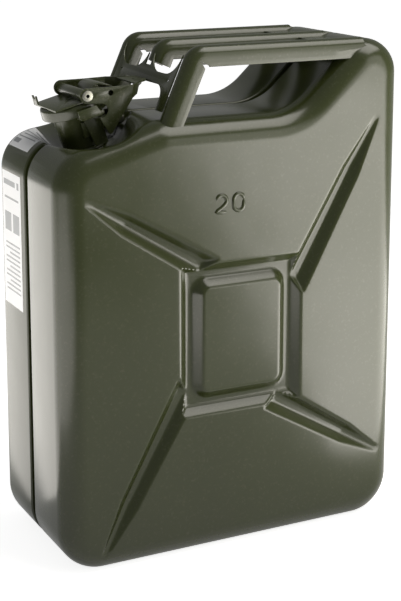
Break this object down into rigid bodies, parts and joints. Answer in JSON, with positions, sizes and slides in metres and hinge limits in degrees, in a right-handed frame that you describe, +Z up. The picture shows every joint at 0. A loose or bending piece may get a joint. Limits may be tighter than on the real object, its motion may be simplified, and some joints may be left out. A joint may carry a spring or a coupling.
{
  "type": "jerry can",
  "caption": "Flat-sided pressed steel fuel can with a pinwheel pressing, channel handles and a levered cap on a short tilted neck.",
  "frame": {"origin": "centre of the body's underside, on the seam's plane", "axes": "+Z up; +Y through the body's depth from the front broad face to the rear one; +X along the broad faces towards the hump"},
  "size_m": [0.345, 0.165, 0.47],
  "materials": {
    "olive_enamel": "glossy olive enamel on pressed steel",
    "olive_fittings": "glossy olive enamel, thinner at the edges",
    "plated_steel": "zinc plated",
    "tinned_steel": "dull tin",
    "black_rubber": "matt"
  },
  "bodies": {
    "can": {"front_half_shell": "olive_enamel", "rear_half_shell": "olive_enamel", "seam_weld": "olive_enamel", "neck_tube": "olive_enamel", "neck_collar": "olive_enamel", "breather_tube": "tinned_steel", "closure_bracket": "olive_fittings", "front_neck_lug": "olive_fittings", "rear_neck_lug": "olive_fittings", "hinge_pin": "plated_steel", "front_handle_bar": "olive_enamel", "middle_handle_bar": "olive_enamel", "rear_handle_bar": "olive_enamel", "handle_end_plate": "olive_enamel", "front_tie_plate": "olive_enamel", "rear_tie_plate": "olive_enamel"},
    "closure": {"cap_arm": "olive_fittings", "cap": "olive_enamel", "cap_gasket": "black_rubber", "cap_rivet": "plated_steel"},
    "lever": {"closure_lever": "olive_fittings", "lever_pin": "plated_steel"}
  },
  "joints": [
    {"name": "closure_swing", "type": "hinge", "parent": "can", "child": "closure", "pos_m": [-0.086, 0, 0.402], "axis": [0, 1, 0], "range_deg": [0, 45]},
    {"name": "lever_lift", "type": "hinge", "parent": "closure", "child": "lever", "pos_m": [-0.125, 0, 0.4265], "axis": [0, -1, 0], "range_deg": [0, 68]}
  ],
  "couplings": [
    {"joint": "lever_lift", "follows": "closure_swing", "ratio": 1.5}
  ]
}
